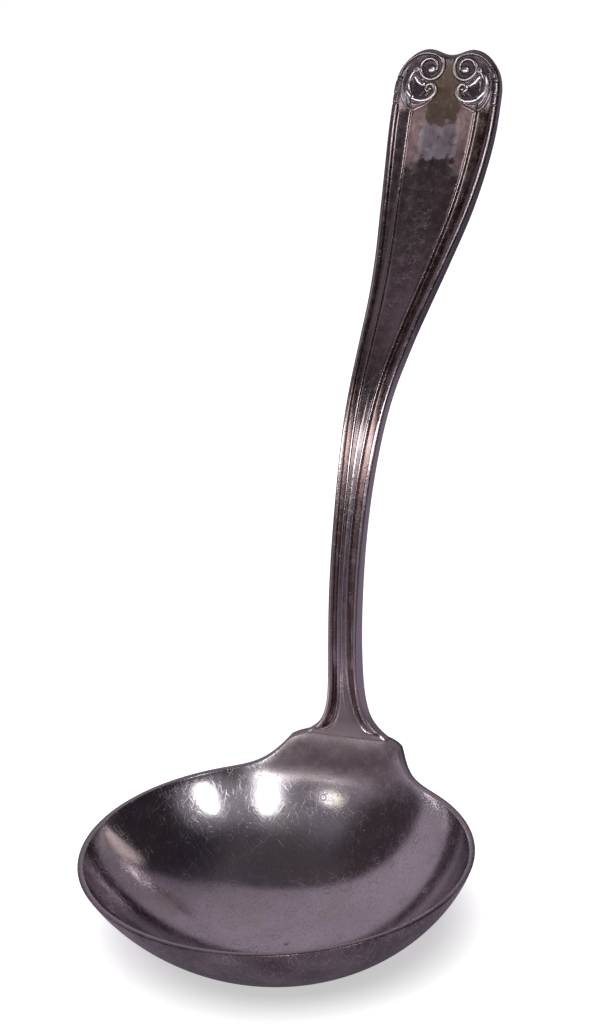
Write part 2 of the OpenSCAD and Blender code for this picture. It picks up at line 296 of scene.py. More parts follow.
def build_bowl(material):
    """The struck bowl as one closed shell: outer surface, rolled lip and inner surface."""
    turns = bowl_turns()
    outer, inner = bowl_surfaces(turns)
    rings = np.concatenate([outer, rolled_lip(turns, outer[-1], inner[-1]), inner[::-1]])
    verts, quads, tris = closed_tube(rings, (0, 0, 0), (0, 0, WALL - FOOT_CUT))
    # the soldered edge is square, so the faces there are flat-shaded
    ring_no, turn_no = quads.min(1) // len(turns), quads.min(1) % len(turns)
    in_seam = (np.abs(turns) < plan_angle(ROOT_X) + 0.005)[turn_no]
    flat = in_seam & (ring_no >= BOWL_ROWS - 1) & (ring_no < BOWL_ROWS + LIP_RINGS)
    obj = make_mesh("bowl_shell", verts, [quads, tris], material,
                    flat=np.concatenate([flat, np.zeros(len(tris), bool)]))
    mark_bowl(obj, turns, rings, rolled_out(turns, outer, inner))
    return obj


# ---- the handle ----
def run(s):
    """Side view of the handle: y and z from the root, and the angle above level, at distance s."""
    s = np.asarray(s, float)
    y, z, a = np.zeros_like(s), np.zeros_like(s), np.zeros_like(s)
    s0, y0, z0, a0 = 0.0, 0.0, 0.0, math.radians(ROOT_ANGLE)
    for i, (length, deg) in enumerate(HANDLE_ARCS):
        a1 = math.radians(deg)
        k = (a1 - a0) / length
        here = (s >= s0) if i else np.ones(s.shape, bool)
        ang = a0 + k * (s - s0)
        y = np.where(here, y0 + (np.sin(ang) - math.sin(a0)) / k, y)
        z = np.where(here, z0 + (math.cos(a0) - np.cos(ang)) / k, z)
        a = np.where(here, ang, a)
        y0 += (math.sin(a1) - math.sin(a0)) / k
        z0 += (math.cos(a0) - math.cos(a1)) / k
        s0, a0 = s0 + length, a1
    return y, z, a


def on_handle(t, s, h):
    """A point t across, s along and h proud of the handle's front face."""
    s = np.asarray(s, float)
    y, z, a = run(s)
    a = mix(math.pi / 2, a, smooth(s / 6))
    return np.stack([np.broadcast_to(t, s.shape).astype(float), ROOT_Y + y - h * np.sin(a),
                     BOWL_DEPTH + SEAM_H + SEAM_T + z + h * np.cos(a)], -1)


def half_width(s):
    """Half the width of the handle: flared root, narrow neck, broad end and rounded lobes."""
    s = np.asarray(s, float)
    fall = np.sqrt(np.clip(1 - ((s - TIP_START) / (HANDLE_LEN - TIP_START)) ** 2, 0, 1))
    body = ease(s, WIDTHS) + (ROOT_X - NECK_W) * np.exp(-s / FLARE)
    return np.where(s < TIP_START, body, mix(LOBE_X, END_W, fall))


def ridge_x(s):
    """Where the thin ridge runs beside the middle panel."""
    wide = half_width(s) * mix(0.27, 0.62, smooth((s - 41) / 115)) + RIDGE_SPREAD * np.exp(-s / RIDGE_FLARE)
    toe_t, toe_s = np.array(TOE[:-1]).T
    return np.where(s < TOE[0][1], np.interp(s, toe_s[::-1], toe_t[::-1]), wide)


def bead_width(s):
    """Width of the rounded border."""
    return mix(1.36, 2.0, smooth((s - 80) / 60))


def notch_at(t, s):
    """How far the notch between the lobes pulls the tip back at t."""
    dip = NOTCH * np.cos(np.pi / 2 * t / LOBE_X) ** 2 * clamp01((s - 169.4) / 19) ** 3
    return np.where(np.abs(t) < LOBE_X, dip, 0.0)


def distance_to(points, line):
    """The least distance from each point to a line of closely spaced points."""
    out = np.empty(len(points))
    for i in range(0, len(points), 4000):
        gap = points[i:i + 4000, None] - line[None]
        out[i:i + 4000] = np.sqrt((gap ** 2).sum(-1).min(1))
    return out


def slope_of(curve, s):
    """How fast a curve of s grows there."""
    return (curve(s + 0.05) - curve(s - 0.05)) / 0.1


def from_outline(t, s):
    """Distance inwards from the handle's outline, at a point t across (0 or more) and s along."""
    d = (half_width(s) - t) / np.sqrt(1 + slope_of(half_width, np.minimum(s, TIP_START - 1)) ** 2)
    near = s > TIP_START - 1
    lobe_s = TIP_START - 4 + (HANDLE_LEN - TIP_START + 4) * np.sin(np.linspace(0, math.pi / 2, 500))
    ring_t = np.concatenate([half_width(lobe_s), np.linspace(LOBE_X, -1, 200)])
    ring_s = np.concatenate([lobe_s, np.full(200, HANDLE_LEN)])
    outline = np.stack([ring_t, ring_s - notch_at(ring_t, ring_s)], -1)
    d[near] = distance_to(np.stack([t[near], s[near]], -1), outline)
    return np.maximum(d, 0)


def from_ridge(t, s):
    """Distance from the thin ridge, which closes round the end of the channel in a toe at the root."""
    d = np.abs(t - ridge_x(s)) / np.sqrt(1 + slope_of(ridge_x, np.maximum(s, 4)) ** 2)
    near = s < 5
    run_s = np.arange(7, TOE[0][1], -0.04)
    line = np.concatenate([np.stack([ridge_x(run_s), run_s], -1), spline(TOE, 24)])
    d[near] = distance_to(np.stack([t[near], s[near]], -1), line)
    return d


def bump(d, reach):
    """A rounded rise from 1 at d = 0 to 0 at d = reach."""
    return np.cos(np.clip(np.abs(d) / reach, 0, 1) * math.pi / 2) ** 2


def with_border(h, edge, s, shown):
    """h with the border laid over it: a rounded bead inside the outline, in short beads beside the scrolls.

    Also returns where the border is, and where its top catches the wear.
    """
    bead_w = bead_width(s)
    r_edge = mix(bead_w / 2, 1.6, smooth((s - 182) / 5))
    cuts = sum(bump(s - at, width) for at, width in BEAD_CUTS) * (s > 172)
    on_bead = smooth((bead_w - edge) / 0.22) * shown * (1 - smooth((s - 181) / 3))
    inner = np.clip(edge - bead_w / 2, 0, bead_w / 2)
    bead = 0.03 - 0.3 * cuts - (bead_w / 2 - np.sqrt(np.maximum((bead_w / 2) ** 2 - inner ** 2 * 0.85, 0)))
    h = mix(h, bead, on_bead)
    out = np.clip(r_edge - edge, 0, r_edge)
    h = h - (r_edge - np.sqrt(r_edge ** 2 - out ** 2)) * mix(0.8, 1.0, smooth((s - 182) / 5))
    return h, on_bead, bump(edge - bead_w * 0.42, 0.35) * on_bead * (1 - cuts)


def front(t, s):
    """Relief of the front face at flat arrays t (0 or more) and s.

    Returns its height, and how far each point is channel, crest and ground between the scrolls.
    """
    edge, ridge = from_outline(t, s), from_ridge(t, s)
    shown = smooth((s - 0.6) / 1.2)
    ended = 1 - smooth((s - RELIEF_END) / 6)
    rib_on = (1 - smooth((s - 62) / 45)) * smooth((s - 7) / 9)
    dished = 0.16 * (t / np.maximum(ridge_x(s), 1)) ** 2 * (1 - rib_on) * smooth((s - 60) / 40)
    panel = ease(s, PANEL_LEVEL) + dished
    rib = 0.26 * bump(t, 0.52) * rib_on
    # a fine groove runs along the panel's side of the ridge
    groove = 0.08 * bump(ridge - 0.5, 0.34) * (t < ridge_x(s)) * shown * ended
    crest = 0.32 * bump(ridge, 0.4) * shown * ended
    # the channel is a hollow that is deepest towards the border
    to_border = edge - bead_width(s)
    far = clamp01(ridge / np.maximum(ridge + to_border, 0.1))
    sunk = smooth((ridge - 0.1) / 0.5) * mix(0.55, 1.0, smooth(far * 1.25))
    hollow = np.where((t > ridge_x(s)) & (s > TOE[-2][1]), sunk, 0.0) * ended
    deep = mix(0.45, CHANNEL, smooth(s / 20))
    h = panel - deep * hollow * smooth((to_border + 0.4) / 0.5) + rib + crest - groove
    h, on_bead, bead_top = with_border(h, edge, s, shown)
    beside = mix(SCROLL_INSIDE[0], SCROLL_INSIDE[1], smooth((s - 179) / 3))
    ground = smooth((s - 172.5) / 2) * smooth((t - beside) / 1.0) * smooth((edge - 0.9) / 0.5)
    cavity = clamp01(hollow + groove / 0.08 * 0.3) * (1 - on_bead)
    high = clamp01(crest / 0.32 + bump(t, 0.35) * rib_on + bead_top)
    return h, cavity, high, ground


def handle_stations():
    """Distances along the handle, closer together at the root, beside the scrolls and round the tip."""
    return np.concatenate([
        [0, 0.03], steps(0.15, 4.6, 44), steps(4.6, 20, 44), steps(20, 170, 170), steps(170, TIP_START, 46),
        TIP_START + (HANDLE_LEN - TIP_START) * np.sin(np.linspace(0, math.pi / 2, 84))])


def front_columns(s):
    """Points across half of the front at each station, gathered at the ridge and over the border."""
    w, bead = half_width(s), bead_width(s)
    r = np.minimum(ridge_x(s), w - 2.4)
    inner_edge = w - bead - 0.12
    parts = [(0 * s, r - 0.8, 12), (r - 0.8, r + 0.5, 17), (r + 0.5, inner_edge, 9),
             (inner_edge, w - bead * 0.45, 9)]
    cols = [a[:, None] + (b - a)[:, None] * (np.arange(n) / n)[None] for a, b, n in parts]
    turn = np.linspace(0, math.pi / 2, 12)
    cols.append(w[:, None] - (bead * 0.45)[:, None] * (1 - np.sin(turn))[None])
    return np.concatenate(cols, 1)


def back_columns(s, front_edge):
    """Half of the side wall, back edge and crowned back at each station: points across and heights."""
    w = half_width(s)
    thick = ease(s, THICKNESSES)[:, None]
    end = smooth((s - 182) / 5)[:, None]
    back_round = mix(0.55, thick / 2, end)
    k = np.linspace(0, math.pi / 2, 8)[None]
    wall_t = np.repeat(w[:, None], 3, 1)
    wall_h = mix(front_edge, -thick + back_round, np.array([[0.25, 0.5, 0.75]]))
    turn_t = w[:, None] - back_round * (1 - np.cos(k))
    turn_h = -thick + back_round * (1 - np.sin(k))
    q = np.linspace(1, 0, 9)[1:][None]
    crown = 0.34 * smooth(s / 3)[:, None] * (1 - end)
    t = np.concatenate([wall_t, turn_t, turn_t[:, -1:] * q], 1)
    h = np.concatenate([wall_h, turn_h, -thick - crown * (1 - q * q)], 1)
    # at the tip the back closes up to the front in a rounded edge
    S = np.repeat(s[:, None], t.shape[1], 1)
    gap = from_outline(t.reshape(-1), (S - notch_at(t, S)).reshape(-1)).reshape(S.shape)
    reach = np.broadcast_to(thick / 2, S.shape)
    lift = reach - np.sqrt(reach ** 2 - np.clip(reach - gap, 0, reach) ** 2)
    return t, mix(h, -thick + lift, end)


def mirrored(half, sign=1):
    """A half section followed by its mirror image, so that each row closes round."""
    return np.concatenate([half, sign * half[:, -2:0:-1]], 1)


def build_handle(material):
    """The handle as rings of points round its section: front relief, side walls and crowned back."""
    s = handle_stations()
    t_front = front_columns(s)
    S = np.repeat(s[:, None], t_front.shape[1], 1)
    relief = front(t_front.reshape(-1), (S - notch_at(t_front, S)).reshape(-1))
    h, cavity, crest, ground = (x.reshape(S.shape) for x in relief)
    t_back, h_back = back_columns(s, h[:, -1:])
    full_t = mirrored(np.concatenate([t_front, t_back], 1), -1)
    full_h = mirrored(np.concatenate([h, h_back], 1))
    S = np.repeat(s[:, None], full_t.shape[1], 1)
    true_s = S - notch_at(full_t, S)
    rings = on_handle(full_t, true_s, full_h)
    low, high = on_handle(0.0, 0.0, -1.2), on_handle(0.0, HANDLE_LEN - 2.4, -1.6)
    verts, quads, tris = closed_tube(rings, low, high, flip=True)
    # the soldered end is square
    n_t = rings.shape[1]
    flat = np.zeros(len(quads) + len(tris), bool)
    flat[:n_t] = True
    flat[len(quads):len(quads) + n_t] = True
    obj = make_mesh("handle_body", verts, [quads, tris], material, flat=flat)

    def on_front(values):
        return mirrored(np.concatenate([values, np.zeros(t_back.shape)], 1))
    store(obj, "FLOAT", "value", {
        "along": true_s, "across": full_t, "cavity": on_front(cavity), "crest": on_front(crest),
        "ground": on_front(ground), "face": on_front(np.ones(h.shape))})
    return obj


# ---- the solder seam: its section as (distance outwards, height above the plate's top) ----
FILLET = [
    (-0.5, 0.02), (-0.28, -0.1), (-0.22, 0.0), (-0.2, 0.075), (-0.22, 0.15), (-0.28, 0.25), (-0.5, 0.13)]


def build_solder(material):
    """A thin fillet of solder round the joint between the plate and the root."""
    side = PLATE_T / 2 + 0.2
    seam_z = BOWL_DEPTH + SEAM_H
    a = steps(0, 2 * math.pi, 160)
    end_x = np.where(np.cos(a) >= 0, 1, -1) * (ROOT_X - 1)
    middle = ROOT_Y + PLATE_T / 2
    rings = []
    for off, z in FILLET:
        x, y = end_x + (side + off) * np.cos(a), middle + (side + off) * np.sin(a)
        rings.append(np.stack([x, y, seam_z + z + 0 * a], -1))
    low, high = [0, middle, seam_z + FILLET[0][1]], [0, middle, seam_z + FILLET[-1][1]]
    verts, quads, tris = closed_tube(np.array(rings), low, high)
    return make_mesh("solder_fillet", verts, [quads, tris], material)


# ---- the scrolls: a relief laid out as (t, s) on the right-hand half of the tip ----
VOLUTE = (4.75, 182.7)
OUTER_THREAD = [
    (13.5, 180.9), (12.5, 183.6), (10.6, 185.6), (8.3, 186.8), (5.9, 187.2), (3.6, 186.8), (2.1, 185.7),
    (1.5, 184.0), (1.8, 182.2), (3.0, 180.7), (4.8, 180.1), (6.6, 180.8), (7.7, 182.2), (7.8, 183.8),
    (6.8, 185.1), (5.2, 185.6), (3.8, 185.0), (3.2, 183.8), (3.3, 182.7)]
KNOB = (8.9, 182.6)
C_THREAD = [
    (9.2, 182.3), (10.2, 181.2), (10.9, 179.5), (10.8, 177.5), (9.8, 175.8), (8.2, 174.8), (6.3, 174.6),
    (4.6, 175.1), (3.4, 176.3), (3.2, 177.7), (4.0, 178.8), (5.3, 178.7), (5.8, 177.7), (5.2, 176.9)]
CURL_EYE = (4.55, 177.5)
LEAF_RIB = [
    (10.9, 181.2), (11.6, 179.2), (11.5, 176.9), (10.6, 174.8), (9.1, 173.5), (7.4, 173.3), (5.6, 173.9)]
LEAF_EDGE = [
    (11.7, 181.9), (12.5, 179.6), (12.5, 176.8), (11.7, 174.2), (10.2, 172.5), (8.6, 171.8), (7.6, 172.2),
    (6.0, 172.9), (4.6, 173.9), (3.5, 175.2)]
TEARDROP = [(6.7, 178.7), (7.6, 179.6), (8.6, 180.6)]
NOTHING, THREAD_STEEP = -9.0, 0.62


def tube(grid, points, radii, rise):
    """Height of a rolled thread over the grid: rise on its line, falling away at the sides to nothing."""
    p = spline(points, 12)
    r = np.interp(np.linspace(0, 1, len(p)), np.linspace(0, 1, len(radii)), radii)
    best = np.full(len(grid), NOTHING)
    for (x, y), rad in zip(p, r):
        d2 = (grid[:, 0] - x) ** 2 + (grid[:, 1] - y) ** 2
        near = d2 < (rad * 1.4) ** 2
        q = d2[near] / rad**2
        rounded = rise - THREAD_STEEP * rad * (1 - np.sqrt(np.maximum(1 - q, 0)))
        foot = rise - THREAD_STEEP * rad - (q - 1) * rad
        best[near] = np.maximum(best[near], np.where(q < 1, rounded, foot))
    return best


def dome(grid, centre, radius, low, high):
    """Height of a round boss over the grid: high in the middle, low at its foot."""
    d2 = ((grid - np.array(centre)) ** 2).sum(1) / radius**2
    return np.where(d2 < 1, low + (high - low) * np.sqrt(np.maximum(1 - d2, 0)), NOTHING)


def scroll_relief(grid):
    """Height of the carved scrolls above the handle's own front face."""
    t, s = grid[:, 0], grid[:, 1]
    h = np.full(len(grid), -0.7)
    d = np.hypot(t - VOLUTE[0], s - VOLUTE[1] - 0.6)
    layers = [np.where(d < 3.6, -0.05 - 0.3 * bump(d, 3.6), NOTHING)]
    leaf = np.hypot((t - 8.3) / 4.0, (s - 177.0) / 4.9)
    layers.append(np.where(leaf < 1, -0.1 + 0.2 * bump(leaf - 0.95, 0.5), NOTHING))
    fold = distance_to(grid, spline(LEAF_EDGE, 12))
    flutes = 0.2 - 0.05 * fold + 0.13 * np.cos(2 * math.pi * fold / 1.05)
    layers.append(np.where((leaf < 1) & (fold < 3.2), flutes, NOTHING))
    layers += [
        tube(grid, OUTER_THREAD, [0.4, 0.56, 0.62, 0.62, 0.62, 0.6, 0.56, 0.5, 0.44, 0.36], 0.46),
        tube(grid, C_THREAD, [0.4, 0.8, 1.05, 1.1, 0.95, 0.7, 0.5, 0.4], 0.5),
        tube(grid, LEAF_RIB, [0.2, 0.36, 0.46, 0.46, 0.36, 0.22], 0.32),
        tube(grid, LEAF_EDGE, [0.25, 0.4, 0.5, 0.5, 0.4, 0.3], 0.3),
        tube(grid, TEARDROP, [0.9, 1.5, 1.1], 0.62),
        dome(grid, VOLUTE, 1.45, -0.3, 0.6),
        dome(grid, KNOB, 1.05, -0.1, 0.75),
        dome(grid, CURL_EYE, 0.66, -0.1, 0.5)]
    return np.maximum.reduce([h] + layers)


def slab_faces(n_a, n_s):
    """Faces of a closed slab: a grid of n_s rows of n_a points, the same grid below it, and walls round."""
    i = np.arange(n_s - 1)[:, None] * n_a
    j = np.arange(n_a - 1)[None, :]
    top = np.stack([i + j, i + j + 1, i + j + 1 + n_a, i + j + n_a], -1).reshape(-1, 4)
    off = n_a * n_s
    border = np.concatenate([np.arange(n_a), np.arange(1, n_s) * n_a + n_a - 1,
                             (n_s - 1) * n_a + np.arange(n_a - 2, -1, -1), np.arange(n_s - 2, 0, -1) * n_a])
    after = np.roll(border, -1)
    walls = np.stack([border, border + off, after + off, after], -1)
    return np.concatenate([top, top[:, ::-1] + off, walls])


def build_scroll(side, material):
    """One scroll as a closed relief: side is 1 for the right-hand half of the tip and -1 for the left."""
    n_a, n_s = 176, 216
    s = np.linspace(171.2, HANDLE_LEN - 0.02, n_s)
    a = np.linspace(0.03, 1, n_a)
    S = np.repeat(s[:, None], n_a, 1)
    T = a[None, :] * (half_width(S) - 0.3)
    S = S - notch_at(T, S)
    t, s = T.reshape(-1), S.reshape(-1)
    ground = front(t, s)[0]
    # threads sink into the rounded edge of the tip before they reach the outline
    relief = np.minimum(scroll_relief(np.stack([t, s], -1)), mix(-0.7, 0.6, smooth(from_outline(t, s) / 0.9)))
    # the slab's border stays below the face
    h = (ground - 0.7).reshape(S.shape)
    h[1:-1, 1:-1] = (ground + relief).reshape(S.shape)[1:-1, 1:-1]
    top = on_handle(T * side, S, h)
    low = on_handle(T * side, S, (ground - 0.9).reshape(S.shape))
    verts = np.concatenate([top.reshape(-1, 3), low.reshape(-1, 3)])
    faces = slab_faces(n_a, n_s)
    if side < 0:
        faces = faces[:, ::-1]
    name = "scroll_relief_right" if side > 0 else "scroll_relief_left"
    obj = make_mesh(name, verts, [faces], material)
    masks = {"along": s, "across": t * side, "cavity": 0 * s, "ground": 1 - smooth((relief + 0.25) / 0.4),
             "crest": smooth((relief - 0.34) / 0.16), "face": 0 * s + 1}
    store(obj, "FLOAT", "value", {key: np.tile(values, 2) for key, values in masks.items()})
    return obj


# ---- materials ----
class Nodes:
    """Short calls for building the nodes of a material or the world."""

    def __init__(self, owner):
        owner.use_nodes = True
        self.tree = owner.node_tree
        self.tree.nodes.clear()

    def put(self, kind, inputs=None, **props):
        """A new node with these inputs, each a value or the socket that feeds it."""
        node = self.tree.nodes.new("ShaderNode" + kind)
        for key, value in props.items():
            setattr(node, key, value)
        for key, value in (inputs or {}).items():
            if isinstance(value, bpy.types.NodeSocket):
                self.tree.links.new(value, node.inputs[key])
            else:
                node.inputs[key].default_value = value
        return node

    def math(self, operation, a, b=0.0):
        return self.put("Math", {0: a, 1: b}, operation=operation).outputs[0]

    def fold(self, operation, values):
        out = values[0]
        for value in values[1:]:
            out = self.math(operation, out, value)
        return out

    def both(self, *values):
        """All the masks at once: their product."""
        return self.fold("MULTIPLY", values)

    def either(self, *values):
        """Any of the masks: the largest."""
        return self.fold("MAXIMUM", values)

    def total(self, *values):
        return self.fold("ADD", values)

    def less(self, *values):
        """The first value without the others."""
        return self.fold("SUBTRACT", values)

    def remap(self, value, a, b, c=0.0, d=1.0, **props):
        """value carried from the range a to b over to c to d, and held there."""
        ends = {"Value": value, "From Min": a, "From Max": b, "To Min": c, "To Max": d}
        return self.put("MapRange", ends, **props).outputs[0]

    def noise(self, vector, scale, detail=3.0, roughness=0.55, distortion=0.0):
        ins = {"Vector": vector, "Scale": scale, "Detail": detail, "Roughness": roughness,
               "Distortion": distortion}
        return self.put("TexNoise", ins).outputs["Fac"]

    def mask(self, name):
        """A number that was stored at the vertices."""
        return self.put("Attribute", attribute_name=name).outputs["Fac"]

    def tint(self, factor, a, b):
        """Colour a, or b where factor is 1."""
        a, b = ((*c, 1) if isinstance(c, tuple) else c for c in (a, b))
        return self.put("Mix", {0: factor, 6: a, 7: b}, data_type="RGBA").outputs[2]

    def over(self, under, colour, *masks):
        """The colour under, with another laid over it where all the masks are 1."""
        return self.tint(self.both(*masks), under, colour)

    def window(self, value, low, high, soft):
        """1 while value is between low and high, with soft edges."""
        rise, fall = (low - soft, low + soft), (high + soft, high - soft)
        return self.both(self.remap(value, *rise), self.remap(value, *fall))


def hairlines(n, sheet, amount, seed):
    """Fine straight scratches in several directions; a mask of thin lines."""
    rng = np.random.default_rng(seed)
    layers = []
    for k in range(amount):
        start = (rng.uniform(-1, 1), rng.uniform(-1, 1), k * 0.37)
        size = (1 / rng.uniform(110, 260), 1 / rng.uniform(4200, 6000), 1.0)
        turned = (0, 0, rng.uniform(0, math.pi))
        turn = {"Vector": sheet, "Location": start, "Rotation": turned, "Scale": size}
        spot = n.put("Mapping", turn, vector_type="TEXTURE").outputs[0]
        layers.append(n.remap(n.noise(spot, 1.0, 1.0, 0.5), 0.69, 0.78))
    return n.either(*layers)


def spot_rings(n, sheet, scale, radius, thin):
    """Rings left by dried drops: thin circles of several sizes, in some of the cells only."""
    spread = {"Vector": sheet, "Scale": scale, "Randomness": 1.0}
    cells = n.put("TexVoronoi", spread, voronoi_dimensions="2D")
    pick = n.put("SeparateColor", {0: cells.outputs["Color"]})
    size = n.remap(pick.outputs[0], 0, 1, radius * 0.55, radius)
    off = n.math("ABSOLUTE", n.less(cells.outputs["Distance"], size))
    return n.both(n.remap(off, thin, thin * 0.3), n.remap(pick.outputs[1], 0.45, 0.5))


def finish_metal(n, colour, roughness, height, depth):
    """The metal's shader: depth is how deep, in metres, a height of 1 is."""
    relief = n.put("Bump", {"Height": height, "Strength": 1.0, "Distance": depth}).outputs[0]
    ins = {"Metallic": 1.0, "Base Color": colour, "Roughness": roughness, "Normal": relief}
    metal = n.put("BsdfPrincipled", ins)
    n.put("OutputMaterial", {"Surface": metal.outputs[0]})


def start_material(name):
    """A new material, the calls that build its nodes, and the point on the object."""
    mat = bpy.data.materials.new(name)
    n = Nodes(mat)
    return mat, n, n.put("TexCoord").outputs["Object"]


def bowl_colour(n, place, cloud, inside, plate):
    """Silver inside and greyer below, with a duller, stained plate whose pale tint is a painted reflection,
    and a brownish film in places.
    """
    inner = n.tint(n.remap(cloud, 0.36, 0.62), (0.54, 0.50, 0.54), (0.66, 0.62, 0.66))
    blotches = n.remap(n.noise(place, 60.0, 6.0, 0.7), 0.36, 0.62)
    under = n.tint(blotches, (0.108, 0.086, 0.09), (0.21, 0.18, 0.194))
    colour = n.tint(inside, under, inner)
    # painted reflection: the plate is lightened, palest part way up and a little less at its top
    colour = n.over(colour, (0.90, 0.79, 0.83), n.remap(plate, 0, 0.7), inside)
    colour = n.over(colour, (0.66, 0.565, 0.595), n.remap(plate, 0.7, 1.0), inside, 0.8)
    stain = n.remap(n.noise(place, 150.0, 5.0, 0.65, 0.4), 0.44, 0.60)
    stain = n.both(stain, n.remap(plate, 0.35, 0.9), inside)
    colour = n.over(colour, (0.50, 0.395, 0.40), stain, 0.55)
    film = n.remap(n.noise(place, 62.0, 4.0, 0.6), 0.44, 0.68)
    colour = n.over(colour, (0.46, 0.38, 0.385), film, 0.4)
    yellow = n.both(n.remap(n.noise(place, 85.0, 3.0, 0.5), 0.60, 0.72), inside, n.remap(plate, 1, 0))
    return n.over(colour, (0.50, 0.43, 0.24), yellow, 0.5), stain


def bowl_wear(n, sheet, cloud, inside):
    """Masks of the scratches, the rings of dried drops, the dark specks and the nicks."""
    scratches = n.both(hairlines(n, sheet, 8, 11), n.remap(cloud, 0.34, 0.56, 0.35, 1.0))
    large_rings = spot_rings(n, sheet, 105.0, 0.19, 0.018)
    small_rings = spot_rings(n, sheet, 190.0, 0.2, 0.032)
    rings = n.both(n.either(large_rings, small_rings), inside)
    specks = n.remap(n.noise(sheet, 1500.0, 3.0, 0.7), 0.55, 0.63)
    nicks = n.both(n.remap(n.noise(sheet, 1700.0, 2.0), 0.70, 0.76), n.remap(cloud, 0.42, 0.6))
    return scratches, rings, specks, nicks


def bowl_material():
    """Worn silver plate: bright and scratched inside, greyer below, with dried spots, nicks and tarnish, and
    painted shade along the lip.
    """
    mat, n, place = start_material("worn_silver_plate")
    inside, plate, lip = n.mask("inside"), n.mask("plate"), n.mask("lip")
    sheet = n.put("Attribute", attribute_name="sheet").outputs["Vector"]
    cloud = n.noise(place, 38.0, 5.0, 0.62, 0.6)
    colour, stain = bowl_colour(n, place, cloud, inside, plate)
    scratches, rings, specks, nicks = bowl_wear(n, sheet, cloud, inside)
    bared = n.either(scratches, nicks)
    colour = n.over(colour, (0.30, 0.26, 0.28), specks, inside, 0.5)
    colour = n.over(colour, (0.88, 0.85, 0.88), bared, 0.6)
    colour = n.over(colour, (0.40, 0.36, 0.39), rings, 0.35)
    # painted shade: the rolled lip is darkened into a thin dark outline
    colour = n.over(colour, (0.34, 0.30, 0.325), lip, 0.75)
    # polished inside; rougher on the plate, underneath, at stains and along scratches
    rough = n.remap(n.noise(place, 260.0, 4.0, 0.65), 0.3, 0.7, 0.09, 0.17)
    rough = n.total(rough, n.both(plate, 0.30), n.both(n.remap(inside, 1, 0), 0.10),
                    n.both(n.either(rings, specks), 0.1), n.both(bared, 0.16))
    rough = n.less(rough, n.both(stain, 0.06))
    grain = n.noise(place, 1900.0, 3.0, 0.6)
    height = n.less(n.both(grain, 0.45), n.both(scratches, 0.18), nicks, n.both(rings, 0.5))
    finish_metal(n, colour, rough, height, 0.000014)
    return mat


def tarnish_and_painted_light(n, marks, sheet, cloud, dark, light):
    """Clouded tarnish, with a painted reflection lightening the shank, and pale strokes that rubbing left
    along the panel.
    """
    along, face = marks["along"], marks["face"]
    colour = n.tint(n.remap(cloud, 0.36, 0.66), dark, light)
    # the sides and the back are cleaner; beside the broad end they are darkened instead, a painted shade
    side = n.tint(n.window(along, 98.0, 175.0, 12.0), (0.46, 0.41, 0.45), (0.125, 0.115, 0.145))
    colour = n.tint(n.remap(face, 1, 0), colour, side)
    strokes = n.put("Mapping", {"Vector": sheet, "Scale": (900.0, 30.0, 1.0)}).outputs[0]
    strokes = n.both(n.remap(n.noise(strokes, 1.0, 3.0, 0.6), 0.52, 0.72), face)
    colour = n.over(colour, (0.34, 0.30, 0.32), strokes, 0.4)
    # painted reflection: the front is lightened down the shank towards the root
    colour = n.over(colour, (0.58, 0.51, 0.54), n.remap(along, 62, 26), face, 0.85)
    # the panel is browner halfway up
    middle = n.both(n.window(along, 98.0, 148.0, 14.0), face)
    return n.over(colour, (0.26, 0.207, 0.217), middle, 0.75)


def panel_sheen_and_wear(n, marks, place, cloud, colour):
    """A greyer, lighter strip along the left of the panel, painted light falling from the left, and worn,
    unreadable scrollwork down its middle.
    """
    along, across, face = marks["along"], marks["across"], marks["face"]
    # painted light: the left of the panel is lightened as if lit from the left
    left_sheen = n.both(n.window(across, -5.6, -3.2, 0.6), n.window(along, 112.0, 152.0, 5.0), face)
    left_sheen = n.both(left_sheen, n.remap(cloud, 0.35, 0.5))
    colour = n.over(colour, (0.40, 0.35, 0.35), left_sheen, 0.55)
    curls = n.math("ABSOLUTE", n.less(n.noise(place, 400.0, 1.0, 0.5, 1.6), 0.5))
    curls = n.both(n.remap(curls, 0.026, 0.008), n.window(along, 108.0, 150.0, 6.0), face)
    curls = n.both(curls, n.window(across, -3.2, 3.0, 1.0))
    return n.over(colour, (0.44, 0.39, 0.40), curls, 0.5), curls


def channel_colour(n, marks, fine_cloud, colour):
    """A plain grey root, and brown deposit in the channels, rubbed away here and there."""
    along, across, cavity = marks["along"], marks["across"], marks["cavity"]
    streak = n.put("CombineXYZ", {0: n.both(across, 0.5), 1: n.both(along, 0.12)}).outputs[0]
    rubbed = n.noise(streak, 1.0, 3.0, 0.5)
    root = n.both(n.remap(along, 15, 7), marks["face"], n.remap(cavity, 0.7, 0.2))
    colour = n.tint(root, colour, (0.49, 0.42, 0.445))
    brown = n.tint(n.remap(fine_cloud, 0.4, 0.62), (0.085, 0.053, 0.05), (0.135, 0.085, 0.078))
    brown = n.tint(n.remap(along, 95, 75), brown, (0.25, 0.168, 0.162))
    deposit = n.both(n.remap(cavity, 0.25, 0.8), n.remap(rubbed, 0.60, 0.52))
    return n.tint(deposit, colour, brown), root


